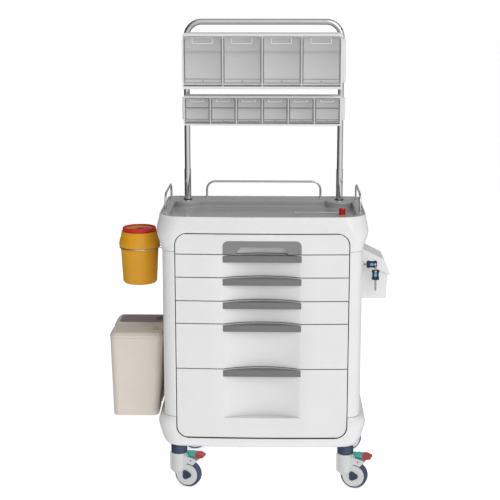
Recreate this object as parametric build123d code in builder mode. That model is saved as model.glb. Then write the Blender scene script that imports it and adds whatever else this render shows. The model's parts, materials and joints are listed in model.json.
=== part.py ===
from build123d import *
import os
from math import cos, radians, sin, sqrt

os.makedirs("parts", exist_ok=True)

# Crash cart: a moulded cabinet with six drawers on four casters, a tubular bridge carrying two rows of
# tilt bins, and side accessories. Millimetres, +Z up, front towards -Y, standing on Z = 0.
# Everything is laid out about the cabinet's middle plane X = 0. The last lines move the pieces so that
# the origin is at the bottom middle of the whole object's box.

# --- driving dimensions: cabinet ---
BASE_BOTTOM = 161.0       # underside of the base shell
BASE_SEAM = 280.0         # joint between base shell and side panels
TOP_SEAM = 894.0          # joint between side panels and top shell
RIM = 1018.0              # upper rim of the top shell
PANEL_HALF = 358.0        # half width over the side panels
FRONT = -245.0            # foremost line of the bowed front
BACK = 225.0              # rear face of the panels
BOW = 11.0                # how far the front bows over the panels' half width
PANEL_CORNER = 48.0       # front corner radius of the panels
REAR_CORNER = 30.0        # rear corner radius of the panels
WALL = 4.0                # wall of the plastic shells
SEAM_GAP = 0.6            # half of the visible gap at each seam

# --- driving dimensions: drawers ---
FRONT_HALF = 308.0        # half width of the drawer fronts
OPENING_TOP = 959.0
OPENING_BOTTOM = 202.0
OPENING_CORNER = 42.0
DRAWER_EDGES = [959.0, 885.0, 801.0, 715.0, 631.0, 463.0, 202.0]
DRAWER_GAP = 3.2          # gap between neighbouring fronts
FRONT_BACK = -204.0       # rear face of the drawer fronts
PULL_HALF = 141.0         # half width of the recess and pulls
RECESS_BACK = -212.0      # deepest line of the recess
PULL_HEIGHT = 24.0
PULL_GAP = 0.6            # fitting gap round each pull
PULL_DROP = 3.0           # top of each pull below the top of its front
TRAY_HALF = 258.0
TRAY_BACK = 176.0
TRAY_WALL = 2.0
TRAY_LIFT = 10.0          # tray floor above the bottom of its front
TRAY_DROP = 14.0          # tray rim below the top of its front
ARCH_TOP = 934.0          # top of the top drawer's arched grip
LEDGE_Z = 278.0           # ledge at the foot of the lowest recess
PLATE_INNER = 271.0       # inner face of the steel side plates
PLATE_OUTER = 274.0

PLATE_TOP = 985.0
PLATE_REAR = 210.0
CHANNEL_FRONT = -190.0
CHANNEL_BACK = 186.0
CHANNEL_HALF = 13.0

# --- driving dimensions: worktop ---
DECK_TOP = 1016.5         # raised deck round the tray
TRAY_FLOOR = 990.0
TRAY_EDGE = 336.0         # half width of the tray
TRAY_FRONT = -221.0
DECK_FRONT = 140.0        # front edge of the raised rear deck
LOBE_R = 56.0             # round lobe of the deck at each post
RAIL_R = 4.0
RAIL_TOP = 1078.0         # centre line of the guard rails
SIDE_RAIL_X = 352.0
SIDE_RAIL_FRONT = -100.0
SIDE_RAIL_BACK = 150.0
BACK_RAIL_HALF = 219.0
BACK_RAIL_Y = 205.0
RAIL_BEND = 32.0
GRIP_Y = -40.0            # hand grip pocket in each side of the top shell
GRIP_Z = 936.0
GRIP_LENGTH = 220.0
GRIP_HEIGHT = 26.0

# --- driving dimensions: lock and keys ---
LOCK_Y = -150.0
LOCK_Z = 832.0
LOCK_BODY_R = 9.0

# --- driving dimensions: bridge ---
POST_X = 289.0
POST_Y = 152.0
TUBE_R = 11.0
TUBE_BORE_R = 9.5
SLEEVE_R = 12.7
SLEEVE_BORE_R = 11.05
SLEEVE_TOP = 1134.0
SLEEVE_BOTTOM = 850.0
TUBE_BOTTOM = 868.0
BRIDGE_TOP = 1685.0       # centre line of the top tube
BRIDGE_CORNER = 57.0
BINS_X = -4.0             # middle of both bin rows

# --- driving dimensions: casters ---
# swivel X, swivel Y, angle of the trailing wheel, brake pedal
CASTERS = {
    "front_left": (-305.0, -198.0, -17.0, True),
    "front_right": (308.0, -198.0, -17.0, True),
    "rear_left": (-305.0, 170.0, 12.0, False),
    "rear_right": (308.0, 170.0, 12.0, False),
}
WHEEL_R = 50.0
WHEEL_WIDTH = 24.0
TRAIL = 35.0
STEM_R = 10.0
FORK_TOP = 130.0
FORK_HALF = 19.5          # half width over the wheel covers
DISC_R = 40.0             # wheel covers at the foot of each fork
HUB_R = 37.0
AXLE_R = 4.0
PEDAL_PIVOT = (35.0, 127.0)

PIN_R = 2.5
BIN_GAP = 0.7             # side gap between a bin and its cell
CELL_SIDE = 5.0
CELL_WALL = 3.0

# --- driving dimensions: side accessories ---
SHARPS_X = -457.0
SHARPS_Y = -30.0
RING_R = 72.6
RING_Z = 869.5
WIRE_R = 2.4
WASTE_LEFT = -563.0
WASTE_RIGHT = -364.0
WASTE_MIDDLE = 3.0        # Y between the two bins
WASTE_DEPTH = 141.0
WASTE_PITCH = 145.0
WASTE_BOTTOM = 247.0
WASTE_TOP = 545.0
STORE_LEFT = 358.6
STORE_RIGHT = 457.0
STORE_LOW = 785.0         # rim height at the outer side
STORE_HIGH = 835.0        # rim height at the cart side
STORE_MIDDLE = -12.0
STORE_DEPTH = 190.0
LID_HEIGHT = 38.0         # lid above the sloped rim, square to it
LID_LEAN = 19.3           # keeps the lid's cart side upright over that height
LID_HINGE = (361.0, 877.5)
LID_HINGE_R = 1.6
LID_EAR_Y = 50.0          # hinge ears, each side of the lid's middle
KEY_EYE_X = 409.0
KEY_RING_R = 13.0
KEY_HALF = 1.5            # half thickness of the key heads
KNOB_POINT = (292.0, -24.0)
KNOB_R = 12.5
KNOB_SEAT = 1.0            # low round seat under the knob
ROD_R = 1.4
ROD_Z = 998.5

# --- derived places ---
PANEL_HEIGHT = TOP_SEAM - BASE_SEAM - 2 * SEAM_GAP
PANEL_MIDDLE = (TOP_SEAM + BASE_SEAM) / 2
DRAWER_SPANS = [(low + DRAWER_GAP / 2, high - DRAWER_GAP / 2)
                for high, low in zip(DRAWER_EDGES, DRAWER_EDGES[1:])]
CASTER_POINTS = [(x, y) for x, y, angle, braked in CASTERS.values()]

pieces = {}


def keep(name, piece):
    """Label a finished piece and hold it for export."""
    piece.label = name
    pieces[name] = piece


def bowed(x, half=PANEL_HALF, front=FRONT):
    """Y of the bowed front at x."""
    return front + BOW * (x / half) ** 2


# ---------------------------------------------------------------- cabinet shells

def body_section(height, half, front, back, corner, inset=0.0):
    """Horizontal section of the cabinet: bowed front, round corners."""
    half = half - inset
    front = front + inset
    back = back - inset
    with BuildSketch(Plane.XY.offset(height)) as section:
        with BuildLine():
            ThreePointArc((-half, front + BOW), (0, front), (half, front + BOW))
            Polyline((half, front + BOW), (half, back), (-half, back), (-half, front + BOW))
        make_face()
        fillet(section.vertices().group_by(Axis.Y)[0], corner - inset)
        fillet(section.vertices().sort_by(Axis.Y)[-2:], REAR_CORNER - inset)
    return section.sketch


# height, half width, front, back, front corner radius
TOP_SECTIONS = [
    (TOP_SEAM + SEAM_GAP, 360.0, -246.0, 226.0, 50.0),
    (924.0, 368.0, -248.0, 228.0, 58.0),
    (957.0, 378.0, -250.0, 230.0, 70.0),
    (990.0, 374.5, -245.0, 229.0, 78.0),
    (RIM, 370.0, -238.0, 226.0, 84.0),
]
BASE_SECTIONS = [
    (BASE_BOTTOM, 333.0, -226.0, 206.0, 40.0),
    (166.0, 348.0, -238.0, 216.0, 50.0),
    (178.0, 359.0, -245.0, 222.0, 58.0),
    (202.0, 368.0, -248.0, 226.0, 62.0),
    (252.0, 380.0, -251.0, 230.0, 66.0),
    (268.0, 374.0, -249.0, 228.0, 60.0),
    (BASE_SEAM - SEAM_GAP, 361.0, -246.0, 226.0, 52.0),
]


def body_block(sections, inset=0.0):
    """Solid through a list of body sections, all set in by the same inset."""
    faces = [body_section(*numbers, inset) for numbers in sections]
    with BuildPart() as block:
        loft(sections=faces)
    return block.part


def opening_prism(grow):
    """Solid through the front with the drawer opening's rounded outline, larger by grow all round."""
    middle = (OPENING_TOP + OPENING_BOTTOM) / 2
    height = OPENING_TOP - OPENING_BOTTOM + 2 * grow
    with BuildPart() as prism:
        with BuildSketch(Plane.XZ.offset(150)):
            with Locations((0, middle)):
                RectangleRounded(2 * (FRONT_HALF + grow), height, OPENING_CORNER + grow)
        extrude(amount=150)
    return prism.part


drawer_hole = opening_prism(DRAWER_GAP)


with BuildPart() as top_shell:
    add(body_block(TOP_SECTIONS))
    add(body_block(TOP_SECTIONS, WALL), mode=Mode.SUBTRACT)
    add(drawer_hole, mode=Mode.SUBTRACT)
    # hand grip pocket in each side of the bulge
    for side in (-1, 1):
        with BuildSketch(Plane.YZ.offset(side * 383)):
            with Locations((GRIP_Y, GRIP_Z)):
                RectangleRounded(GRIP_LENGTH, GRIP_HEIGHT, 8)
        extrude(amount=-side * 30, mode=Mode.SUBTRACT)
keep("top_shell", top_shell.part)

with BuildPart() as base_shell:
    add(body_block(BASE_SECTIONS))
    add(body_block(BASE_SECTIONS[1:], WALL), mode=Mode.SUBTRACT)
    add(drawer_hole, mode=Mode.SUBTRACT)
    with BuildSketch(Plane.XY.offset(BASE_BOTTOM)):
        with Locations(*CASTER_POINTS):
            Circle(STEM_R + 0.3)
    extrude(amount=2 * WALL, mode=Mode.SUBTRACT)
keep("base_shell", base_shell.part)

with BuildPart() as side_panels:
    outer = body_section(BASE_SEAM + SEAM_GAP, PANEL_HALF, FRONT, BACK, PANEL_CORNER)
    inner = body_section(BASE_SEAM + SEAM_GAP, PANEL_HALF, FRONT, BACK, PANEL_CORNER, WALL)
    extrude(outer, amount=PANEL_HEIGHT)
    extrude(inner, amount=PANEL_HEIGHT, mode=Mode.SUBTRACT)
    add(drawer_hole, mode=Mode.SUBTRACT)
    # the back between the rear corners is a separate panel
    with BuildSketch(Plane.XY.offset(BASE_SEAM)):
        with Locations((0, BACK)):
            Rectangle(2 * FRONT_HALF, 40)
    extrude(amount=PANEL_HEIGHT + 2, mode=Mode.SUBTRACT)
    # return flange beside the drawers
    with BuildSketch(Plane.XY.offset(BASE_SEAM + SEAM_GAP)):
        for side in (-1, 1):
            with Locations((side * (FRONT_HALF + 6), -216)):
                Rectangle(3, 36)
    extrude(amount=PANEL_HEIGHT)
    # hole for the lock barrel
    with BuildSketch(Plane.YZ.offset(PANEL_HALF - 10)):
        with Locations((LOCK_Y, LOCK_Z)):
            Circle(LOCK_BODY_R + 0.2)
    extrude(amount=12, mode=Mode.SUBTRACT)
keep("side_panels", side_panels.part)

with BuildPart() as back_panel:
    with BuildSketch(Plane.XZ.offset(-BACK + 2)):
        with Locations((0, PANEL_MIDDLE)):
            Rectangle(2 * FRONT_HALF - 1, PANEL_HEIGHT)
    extrude(amount=3.8)
    with BuildSketch(Plane.XZ.offset(-BACK + 2)):
        with Locations((0, PANEL_MIDDLE)):
            RectangleRounded(2 * FRONT_HALF - 90, PANEL_HEIGHT - 90, 30)
    extrude(amount=1.6, mode=Mode.SUBTRACT)
keep("back_panel", back_panel.part)


# ---------------------------------------------------------------- inner frame and slides

with BuildPart() as chassis_frame:
    extrude(body_section(BASE_BOTTOM + 5, 325, -212, 205, 40), amount=3)
    with BuildSketch(Plane.XY.offset(BASE_BOTTOM + 5)):
        for side in (-1, 1):
            with Locations((side * (PLATE_INNER + PLATE_OUTER) / 2, (PLATE_REAR - 195) / 2)):
                Rectangle(PLATE_OUTER - PLATE_INNER, PLATE_REAR + 195)
    extrude(amount=PLATE_TOP - BASE_BOTTOM - 5)
    for low, high in ((BASE_BOTTOM + 8, 200), (585, 625), (945, PLATE_TOP)):
        with BuildSketch(Plane.XY.offset(low)):
            with Locations((0, PLATE_REAR - 6)):
                Rectangle(2 * PLATE_OUTER, 12)
        extrude(amount=high - low)
    # sockets that hold the posts
    for low in (SLEEVE_BOTTOM, PLATE_TOP - 26):
        with BuildSketch(Plane.XY.offset(low)):
            with Locations((-POST_X, POST_Y), (POST_X, POST_Y)):
                RectangleRounded(38, 38, 6)
            with Locations((0, POST_Y)):
                Rectangle(2 * PLATE_INNER, 60, mode=Mode.SUBTRACT)
        extrude(amount=26)
    with BuildSketch(Plane.XY.offset(SLEEVE_BOTTOM - 2)):
        with Locations((-POST_X, POST_Y), (POST_X, POST_Y)):
            Circle(SLEEVE_R + 0.1)
    extrude(amount=150, mode=Mode.SUBTRACT)
    with BuildSketch(Plane.XY.offset(BASE_BOTTOM)):
        with Locations(*CASTER_POINTS):
            Circle(STEM_R + 0.3)
    extrude(amount=12, mode=Mode.SUBTRACT)
keep("chassis_frame", chassis_frame.part)

with BuildPart() as slide_channels:
    for side in (-1, 1):
        for bottom, top in DRAWER_SPANS:
            middle = (bottom + top) / 2
            with BuildSketch(Plane.XZ.offset(-CHANNEL_BACK)):
                with Locations((side * (PLATE_INNER - 4.5), middle)):
                    Rectangle(9, 2 * CHANNEL_HALF)
                with Locations((side * (PLATE_INNER - 6), middle)):
                    Rectangle(7, 2 * CHANNEL_HALF - 4, mode=Mode.SUBTRACT)
            extrude(amount=CHANNEL_BACK - CHANNEL_FRONT)
keep("slide_channels", slide_channels.part)


# ---------------------------------------------------------------- worktop and rails

def tray_outline(height, grow):
    """Outline of the recessed tray, with a round lobe kept clear for each post."""
    with BuildSketch(Plane.XY.offset(height)) as outline:
        add(body_section(0, TRAY_EDGE, TRAY_FRONT, DECK_FRONT, 66.0, -grow))
        with Locations((-POST_X, POST_Y), (POST_X, POST_Y)):
            Circle(LOBE_R - grow, mode=Mode.SUBTRACT)
        posts = [Vector(-POST_X, POST_Y, height), Vector(POST_X, POST_Y, height)]
        meeting = [v for v in outline.vertices()
                   if min(abs((Vector(*v) - post).length - LOBE_R + grow) for post in posts) < 0.01]
        fillet(meeting, 8)
    return outline.sketch


with BuildPart() as worktop:
    extrude(body_section(DECK_TOP - 4, 365.2, -233.2, 221.2, 79.0), amount=4)
    extrude(tray_outline(TRAY_FLOOR - 3, 11), amount=DECK_TOP - TRAY_FLOOR + 3)
    extrude(tray_outline(TRAY_FLOOR, 0), amount=40, mode=Mode.SUBTRACT)
    with BuildSketch(Plane.XY.offset(TRAY_FLOOR)):
        with Locations((-POST_X, POST_Y), (POST_X, POST_Y)):
            Circle(SLEEVE_R + 0.1)
    extrude(amount=40, mode=Mode.SUBTRACT)
    with BuildSketch(Plane.XY.offset(TRAY_FLOOR)):
        with Locations(KNOB_POINT):
            Circle(KNOB_R + 1)
    extrude(amount=KNOB_SEAT)
keep("worktop", worktop.part)


def rail(start, end):
    """Round wire guard rail between two places on the deck, with a foot ring at each."""
    with BuildPart() as wire:
        with BuildLine():
            FilletPolyline((*start, DECK_TOP), (*start, RAIL_TOP), (*end, RAIL_TOP), (*end, DECK_TOP),
                           radius=RAIL_BEND)
        with BuildSketch(Plane.XY.offset(DECK_TOP)):
            with Locations(start):
                Circle(RAIL_R)
        sweep()
        with BuildSketch(Plane.XY.offset(DECK_TOP)):
            with Locations(start, end):
                Circle(RAIL_R + 2.5)
        extrude(amount=2.5)
    return wire.part


with BuildPart() as guard_rails:
    add(rail((-BACK_RAIL_HALF, BACK_RAIL_Y), (BACK_RAIL_HALF, BACK_RAIL_Y)))
    for side in (-1, 1):
        add(rail((side * SIDE_RAIL_X, SIDE_RAIL_FRONT), (side * SIDE_RAIL_X, SIDE_RAIL_BACK)))
keep("guard_rails", guard_rails.part)


# ---------------------------------------------------------------- drawers and pulls

RECESS_DEPTH = RECESS_BACK - bowed(PULL_HALF)
RECESS_R = (PULL_HALF ** 2 + RECESS_DEPTH ** 2) / (2 * RECESS_DEPTH)


def front_plan(height, inset=0.0, back=FRONT_BACK):
    """Plan of a drawer front with its bowed face, wider than the opening that trims it."""
    half = FRONT_HALF + 5
    with BuildSketch(Plane.XY.offset(height)) as plan:
        with BuildLine():
            ThreePointArc((-half, bowed(half) + inset), (0, bowed(0) + inset), (half, bowed(half) + inset))
            Polyline((half, bowed(half) + inset), (half, back), (-half, back), (-half, bowed(half) + inset))
        make_face()
    return plan.sketch


def recess_cutter(low, high, grow=0.0):
    """Upright cylinder whose rear is the concave recess behind the pulls."""
    with BuildPart() as cutter:
        with BuildSketch(Plane.XY.offset(low)):
            with Locations((0, RECESS_BACK - RECESS_R)):
                Circle(RECESS_R + grow)
        extrude(amount=high - low)
    return cutter.part


def recess_plan(height, gap=0.0):
    """Lens between the bowed face and the recess arc, smaller by gap."""
    half = PULL_HALF - gap
    with BuildSketch(Plane.XY.offset(height)) as plan:
        with BuildLine():
            ThreePointArc((-half, bowed(half)), (0, bowed(0)), (half, bowed(half)))
            ThreePointArc((-half, bowed(half)), (0, RECESS_BACK - gap), (half, bowed(half)))
        make_face()
    return plan.sketch


def behind_plan(height, depth):
    """Everything that lies more than depth behind the bowed face, across the recess."""
    half = PULL_HALF + 10
    with BuildSketch(Plane.XY.offset(height)) as plan:
        with BuildLine():
            ThreePointArc((-half, bowed(half) + depth), (0, bowed(0) + depth), (half, bowed(half) + depth))
            Polyline((half, bowed(half) + depth), (half, -190), (-half, -190), (-half, bowed(half) + depth))
        make_face()
    return plan.sketch


def arch_prism(grow):
    """Arched outline of the top drawer's grip, through the front."""
    with BuildPart() as prism:
        with BuildSketch(Plane.XZ.offset(180)) as arch:
            with Locations((0, (ARCH_TOP + grow + 860) / 2)):
                Rectangle(2 * (PULL_HALF - 1 + grow), ARCH_TOP + grow - 860)
            fillet(arch.vertices().group_by(Axis.Z)[-1], 20 + grow)
        extrude(amount=90)
    return prism.part


outline = opening_prism(0)
inner_outline = opening_prism(-WALL)

for number, (bottom, top) in enumerate(DRAWER_SPANS, start=1):
    has_arch = number == 1
    # the lowest recess ends in a ledge above the bottom edge
    recess_low = LEDGE_Z if number == len(DRAWER_SPANS) else bottom - 1
    with BuildPart() as recess:
        add(recess_cutter(recess_low, top + 1))
        if has_arch:
            add(arch_prism(0), mode=Mode.INTERSECT)
    with BuildPart() as hollow:
        extrude(front_plan(bottom + WALL, WALL, FRONT_BACK - 2), amount=top - bottom - 2 * WALL)
        add(inner_outline, mode=Mode.INTERSECT)
        add(recess_cutter(recess_low - WALL, top + 1, WALL), mode=Mode.SUBTRACT)
    with BuildPart() as drawer:
        extrude(front_plan(bottom), amount=top - bottom)
        add(outline, mode=Mode.INTERSECT)
        add(recess.part, mode=Mode.SUBTRACT)
        add(hollow.part, mode=Mode.SUBTRACT)
        # tray behind the front, open at the top
        floor = bottom + TRAY_LIFT
        with BuildSketch(Plane.XY.offset(floor)):
            with Locations((0, (FRONT_BACK - 1 + TRAY_BACK) / 2)):
                Rectangle(2 * TRAY_HALF, TRAY_BACK - FRONT_BACK + 1)
        extrude(amount=top - TRAY_DROP - floor)
        with BuildSketch(Plane.XY.offset(floor + TRAY_WALL)):
            with Locations((0, (FRONT_BACK + TRAY_BACK) / 2)):
                RectangleRounded(2 * (TRAY_HALF - TRAY_WALL), TRAY_BACK - FRONT_BACK - 2 * TRAY_WALL, 12)
        extrude(amount=top - floor, mode=Mode.SUBTRACT)
        # runner bar along each side, inside its channel
        with BuildSketch(Plane.XZ.offset(-TRAY_BACK)):
            for side in (-1, 1):
                with Locations((side * (TRAY_HALF + 4.5), (bottom + top) / 2)):
                    Rectangle(9, 2 * CHANNEL_HALF - 8)
        extrude(amount=TRAY_BACK - CHANNEL_FRONT)
    keep(f"drawer_{number}", drawer.part)

    pull_top = top - PULL_DROP
    with BuildPart() as pull:
        if has_arch:
            extrude(recess_plan(bottom, PULL_GAP), amount=ARCH_TOP - bottom)
            add(arch_prism(-PULL_GAP), mode=Mode.INTERSECT)
            extrude(behind_plan(bottom, 6), amount=ARCH_TOP - bottom, mode=Mode.SUBTRACT)
            with BuildSketch(Plane.XZ.offset(180)) as slot:
                with BuildLine():
                    Polyline((-98, bottom - 4), (-76, 911), (76, 911), (98, bottom - 4), close=True)
                make_face()
                fillet(slot.vertices().group_by(Axis.Z)[-1], 6)
            extrude(amount=90, mode=Mode.SUBTRACT)
        else:
            extrude(recess_plan(pull_top - PULL_HEIGHT, PULL_GAP), amount=PULL_HEIGHT)
            extrude(behind_plan(pull_top - PULL_HEIGHT, 4), amount=PULL_HEIGHT - 3, mode=Mode.SUBTRACT)
    keep(f"pull_{number}", pull.part)


# ---------------------------------------------------------------- bridge with tilt bins

with BuildPart() as post_sleeves:
    with BuildSketch(Plane.XY.offset(SLEEVE_BOTTOM)):
        with Locations((-POST_X, POST_Y), (POST_X, POST_Y)):
            Circle(SLEEVE_R)
            Circle(SLEEVE_BORE_R, mode=Mode.SUBTRACT)
    extrude(amount=SLEEVE_TOP - SLEEVE_BOTTOM)
keep("post_sleeves", post_sleeves.part)

with BuildPart() as mast_tube:
    with BuildLine() as mast_path:
        FilletPolyline((-POST_X, POST_Y, TUBE_BOTTOM), (-POST_X, POST_Y, BRIDGE_TOP),
                       (POST_X, POST_Y, BRIDGE_TOP), (POST_X, POST_Y, TUBE_BOTTOM), radius=BRIDGE_CORNER)
    with BuildSketch(Plane(origin=(-POST_X, POST_Y, TUBE_BOTTOM), z_dir=(0, 0, 1))):
        Circle(TUBE_R)
        Circle(TUBE_BORE_R, mode=Mode.SUBTRACT)
    sweep()
keep("mast_tube", mast_tube.part)


def bin_row(name, count, width, low, high, front, rim, lips):
    """White cabinet of one row, and its tilt bins, which turn on pins near their bottom front edge."""
    depth = POST_Y - TUBE_R - front
    left = BINS_X - width / 2
    cell = (width - 2 * CELL_SIDE - (count - 1) * CELL_WALL) / count
    starts = [left + CELL_SIDE + i * (cell + CELL_WALL) for i in range(count)]
    floor = low + rim
    ceiling = high - rim
    pivot_y = front + 7
    pivot_z = floor + 9.5
    with BuildPart() as cabinet:
        with BuildSketch(Plane.XZ.offset(-front)):
            with Locations((BINS_X, (low + high) / 2)):
                RectangleRounded(width, high - low, 5)
        extrude(amount=-depth)
        for start in starts:
            with BuildSketch(Plane.XZ.offset(-front + 1)):
                with Locations((start + cell / 2, (floor + ceiling) / 2)):
                    Rectangle(cell, ceiling - floor)
            extrude(amount=-13, mode=Mode.SUBTRACT)
            with BuildSketch(Plane.XZ.offset(-front - 12)):
                with Locations((start + cell / 2, (low + high) / 2)):
                    Rectangle(cell, high - low - 6)
            extrude(amount=15 - depth, mode=Mode.SUBTRACT)
        with BuildSketch(Plane.YZ.offset(left + 1)):
            with Locations((pivot_y, pivot_z)):
                Circle(PIN_R + 0.05)
        extrude(amount=width - 2, mode=Mode.SUBTRACT)
    keep(name, cabinet.part)

    reach = ceiling - pivot_z - 1.5
    radius = sqrt(36 + reach ** 2)
    back = depth - 26
    for number, start in enumerate(starts, start=1):
        x = start + BIN_GAP
        across = cell - 2 * BIN_GAP
        with BuildPart() as tilt_bin:
            for inset, mode in ((0, Mode.ADD), (TRAY_WALL, Mode.SUBTRACT)):
                lift = 5 * inset
                front_y = pivot_y - 6 + inset
                back_y = pivot_y + back - inset
                shoulder = pivot_z + sqrt(radius ** 2 - back ** 2)
                crown = pivot_y + radius * 0.5, pivot_z + radius * 0.866
                with BuildSketch(Plane.YZ.offset(x + inset)):
                    with BuildLine():
                        ThreePointArc((front_y, pivot_z + reach + lift), (crown[0], crown[1] + lift),
                                      (back_y, shoulder + lift))
                        Polyline((back_y, shoulder + lift), (back_y, floor + 4 + inset),
                                 (front_y, floor + 4 + inset), (front_y, pivot_z + reach + lift))
                    make_face()
                extrude(amount=across - 2 * inset, mode=mode)
            # finger lip along the top and ribs across the face
            for rib_z, rib_depth in lips:
                with BuildSketch(Plane.YZ.offset(x + 4)):
                    with Locations((pivot_y - 6 - rib_depth / 2, floor + rib_z)):
                        Rectangle(rib_depth, 3)
                extrude(amount=across - 8)
            with BuildSketch(Plane.YZ.offset(x - BIN_GAP - 1.2)):
                with Locations((pivot_y, pivot_z)):
                    Circle(PIN_R)
            extrude(amount=BIN_GAP + 1.2 + TRAY_WALL)
            with BuildSketch(Plane.YZ.offset(x + across - TRAY_WALL)):
                with Locations((pivot_y, pivot_z)):
                    Circle(PIN_R)
            extrude(amount=BIN_GAP + 1.2 + TRAY_WALL)
        keep(f"{name.split('_')[0]}_bin_{number}", tilt_bin.part)


bin_row("upper_cabinet", 4, 576.0, 1449.0, 1647.0, -20.0, 10.0, ((16, 1), (122, 3), (175, 6)))
bin_row("lower_cabinet", 6, 582.0, 1310.0, 1418.0, 51.0, 7.0, ((12, 1), (54, 3), (90, 5)))

with BuildPart() as bin_brackets:
    for low, high in ((1462, 1622), (1322, 1406)):
        with BuildSketch(Plane.XY.offset(low)):
            for side in (-1, 1):
                with Locations((side * POST_X, POST_Y + 1.5)):
                    RectangleRounded(34, 25, 7)
                with Locations((side * POST_X, POST_Y)):
                    Circle(TUBE_R + 0.05, mode=Mode.SUBTRACT)
        extrude(amount=high - low)
keep("bin_brackets", bin_brackets.part)


# ---------------------------------------------------------------- casters

with BuildPart() as caster_stems:
    for x, y in CASTER_POINTS:
        foot = Plane(origin=(x, y, 0), x_dir=(1, 0, 0), z_dir=(0, -1, 0))
        with BuildSketch(foot):
            with BuildLine():
                Polyline((0, FORK_TOP - 24), (STEM_R, FORK_TOP - 24), (STEM_R, FORK_TOP + 0.5),
                         (26, FORK_TOP + 0.5), (30, FORK_TOP + 4), (30, BASE_BOTTOM - 6),
                         (27, BASE_BOTTOM - 0.2), (STEM_R, BASE_BOTTOM - 0.2), (STEM_R, BASE_BOTTOM + 8),
                         (15, BASE_BOTTOM + 8), (15, BASE_BOTTOM + 16), (0, BASE_BOTTOM + 16), close=True)
            make_face()
        revolve(axis=Axis((x, y, 0), (0, 0, 1)))
keep("caster_stems", caster_stems.part)

for name, (x, y, angle, braked) in CASTERS.items():
    trail = Vector(cos(radians(angle)), sin(radians(angle)), 0)
    side_on = Plane(origin=(x, y, 0), x_dir=trail, z_dir=trail.cross(Vector(0, 0, 1)))
    across = side_on.z_dir
    hub = side_on.from_local_coords((TRAIL, WHEEL_R, 0))

    with BuildPart() as fork:
        with BuildSketch(side_on):
            with BuildLine():
                hood_top = 117 if braked else 124
                Polyline((-30, 66), (-30, FORK_TOP), (24, FORK_TOP), (27, hood_top + 5), (60, hood_top - 2),
                         (77, 108), (61, 91), (20, 62), (-7, 48), close=True)
            make_face()
        extrude(amount=FORK_HALF, both=True)
        with BuildSketch(Plane.XY.offset(62).move(Location((x, y, 0)))):
            Circle(29.5)
        extrude(amount=FORK_TOP - 62)
        # slit between the hood and the wheel cover
        with BuildSketch(side_on):
            with Locations((TRAIL, WHEEL_R)):
                Circle(DISC_R + 4)
            with Locations((TRAIL - 40, WHEEL_R)):
                Rectangle(80, 110, mode=Mode.SUBTRACT)
            with Locations((TRAIL, WHEEL_R - 40)):
                Rectangle(110, 80, mode=Mode.SUBTRACT)
        extrude(amount=40, both=True, mode=Mode.SUBTRACT)
        with BuildSketch(side_on):
            with Locations((TRAIL, WHEEL_R)):
                Circle(DISC_R)
        extrude(amount=FORK_HALF, both=True)
        # room for the wheel
        with BuildSketch(side_on):
            with Locations((TRAIL, WHEEL_R)):
                Circle(WHEEL_R + 3)
        extrude(amount=WHEEL_WIDTH / 2 + 1.5, both=True, mode=Mode.SUBTRACT)
        with BuildSketch(side_on):
            with Locations((TRAIL, WHEEL_R)):
                Circle(AXLE_R + 0.05)
        extrude(amount=40, both=True, mode=Mode.SUBTRACT)
        with BuildSketch(Plane.XY.offset(FORK_TOP - 25).move(Location((x, y, 0)))):
            Circle(STEM_R + 0.05)
        extrude(amount=30, mode=Mode.SUBTRACT)
        if braked:
            # ears that carry the pedal's pin
            with BuildSketch(side_on):
                with BuildLine():
                    Polyline((27, 112), (27, 131), (37, 131), (41, 112), close=True)
                make_face()
            extrude(amount=16, both=True)
            with BuildSketch(side_on):
                with BuildLine():
                    Polyline((30.3, 119.6), (30.3, 140), (60, 140), (60, 112.5), close=True)
                make_face()
            extrude(amount=12.5, both=True, mode=Mode.SUBTRACT)
            with BuildSketch(side_on):
                with Locations(PEDAL_PIVOT):
                    Circle(PIN_R + 0.05)
            extrude(amount=30, both=True, mode=Mode.SUBTRACT)
    keep(f"fork_{name}", fork.part)

    with BuildPart() as wheel:
        # the tyre and the hub inside it are two solids, a hair apart
        with BuildSketch(side_on):
            with Locations((TRAIL, WHEEL_R)):
                Circle(WHEEL_R)
                Circle(HUB_R, mode=Mode.SUBTRACT)
        extrude(amount=WHEEL_WIDTH / 2, both=True)
        fillet(wheel.edges().filter_by(GeomType.CIRCLE).filter_by(lambda edge: edge.radius > WHEEL_R - 1), 5)
        with BuildSketch(side_on):
            with Locations((TRAIL, WHEEL_R)):
                Circle(HUB_R - 0.02)
        extrude(amount=WHEEL_WIDTH / 2 - 1, both=True)
        with BuildSketch(side_on):
            with Locations((TRAIL, WHEEL_R)):
                Circle(AXLE_R)
        extrude(amount=FORK_HALF + 2, both=True)
        # three-cornered cap on each end of the axle
        for end in (-1, 1):
            cap_plane = Plane(origin=hub + across * end * (FORK_HALF + 0.4), x_dir=trail, z_dir=across * end)
            with BuildSketch(cap_plane) as cap:
                RegularPolygon(17, 3)
                fillet(cap.vertices(), 6)
            extrude(amount=2.6)
    keep(f"wheel_{name}", wheel.part)

    if braked:
        with BuildPart() as brake_pedal:
            with BuildSketch(side_on):
                with BuildLine():
                    Polyline((31, 125), (31, 135), (64, 134), (80, 136), (99, 128), (98, 121), (84, 117),
                             (62, 124), (40, 123.5), close=True)
                make_face()
            extrude(amount=11.5, both=True)
            with BuildSketch(side_on):
                with BuildLine():
                    Polyline((44, 124.2), (44, 134.6), (64, 134), (80, 136), (99, 128), (98, 121), (84, 117),
                             (62, 124), close=True)
                make_face()
            extrude(amount=17, both=True)
            with BuildSketch(side_on):
                with Locations(PEDAL_PIVOT):
                    Circle(PIN_R)
            extrude(amount=16, both=True)
        keep(f"brake_pedal_{name}", brake_pedal.part)


# ---------------------------------------------------------------- sharps container and waste bins

sharps_plane = Plane(origin=(SHARPS_X, SHARPS_Y, 0), x_dir=(1, 0, 0), z_dir=(0, -1, 0))
sharps_axis = Axis((SHARPS_X, SHARPS_Y, 0), (0, 0, 1))

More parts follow.
